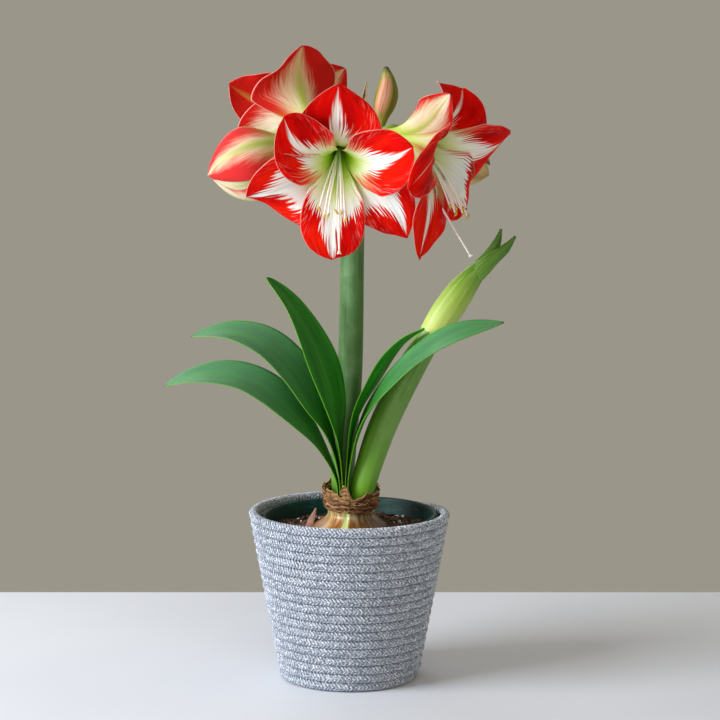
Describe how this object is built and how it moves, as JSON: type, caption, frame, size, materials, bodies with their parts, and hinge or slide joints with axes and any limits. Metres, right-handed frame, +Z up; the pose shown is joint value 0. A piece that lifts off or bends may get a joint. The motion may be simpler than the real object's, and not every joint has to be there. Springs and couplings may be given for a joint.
{
  "type": "potted amaryllis",
  "caption": "Flowering amaryllis bulb in a nursery pot inside a coiled-rope cover pot: strap leaves, a tall stalk with trumpet blooms and buds, a second stalk with a closed spathe.",
  "frame": {"origin": "centre of the cover pot's flat underside, on the surface it stands on", "axes": "+Z up the plant, -Y towards its front, where the nearest bloom faces, +X to the right seen from the front"},
  "size_m": [0.2984, 0.223, 0.5412],
  "materials": {
    "rope": "matt braided rope",
    "pot_plastic": "scuffed satin",
    "potting_mix": "rough, moist",
    "bulb_skin": "satin papery skin",
    "dry_tunic": "dry, wrinkled",
    "withered_bract": "dry, wrinkled",
    "scape_green": "satin bloom",
    "pale_scape_green": "satin",
    "spathe_green": "satin",
    "leaf_green": "glossy",
    "petal": "soft satin, white star and green throat inside",
    "stamen": "satin",
    "opening_petal": "soft satin",
    "closed_bud": "satin"
  },
  "bodies": {
    "root": {"cover_pot": "rope", "grow_pot": "pot_plastic", "potting_mix": "potting_mix", "bulb": "bulb_skin", "bulb_tunic": "dry_tunic", "loose_scale": "dry_tunic", "tall_scape": "scape_green", "leaning_scape": "pale_scape_green", "spathe_bud": "spathe_green", "withered_bract": "withered_bract", "leaf_left_low": "leaf_green", "leaf_left_mid": "leaf_green", "leaf_left_upper": "leaf_green", "leaf_right_thin": "leaf_green", "leaf_right_long": "leaf_green", "front_bloom": "petal", "back_bloom": "petal", "right_bloom": "petal", "front_stamens": "stamen", "back_stamens": "stamen", "right_stamens": "stamen", "left_opening_bud": "opening_petal", "rear_opening_bud": "opening_petal", "closed_bud": "closed_bud"}
  },
  "joints": []
}
